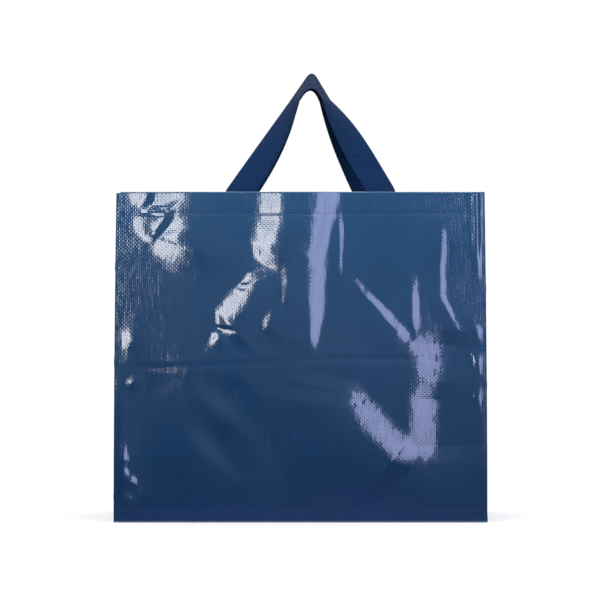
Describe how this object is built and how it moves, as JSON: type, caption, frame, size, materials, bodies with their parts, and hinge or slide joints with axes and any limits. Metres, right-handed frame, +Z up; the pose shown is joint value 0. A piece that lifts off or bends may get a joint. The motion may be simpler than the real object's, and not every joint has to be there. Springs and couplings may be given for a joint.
{
  "type": "plastic carrier bag",
  "caption": "Open-mouthed plastic carrier bag of glossy laminated woven sheet, with folded side gussets, a flat base, a turned hem and short webbing handles drawn together.",
  "frame": {"origin": "middle of the base, on the floor that the bag stands on", "axes": "+Z up from base to handles, -Y out of the front panel that the picture shows, +X to the right in the picture"},
  "size_m": [0.45, 0.2, 0.5395],
  "materials": {
    "laminate": "glossy laminated woven polypropylene, dark blue",
    "webbing": "matt woven webbing, navy"
  },
  "bodies": {
    "root": {"front_panel": "laminate", "back_panel": "laminate", "left_gusset": "laminate", "right_gusset": "laminate", "base_panel": "laminate", "front_handle": "webbing", "back_handle": "webbing"}
  },
  "joints": []
}
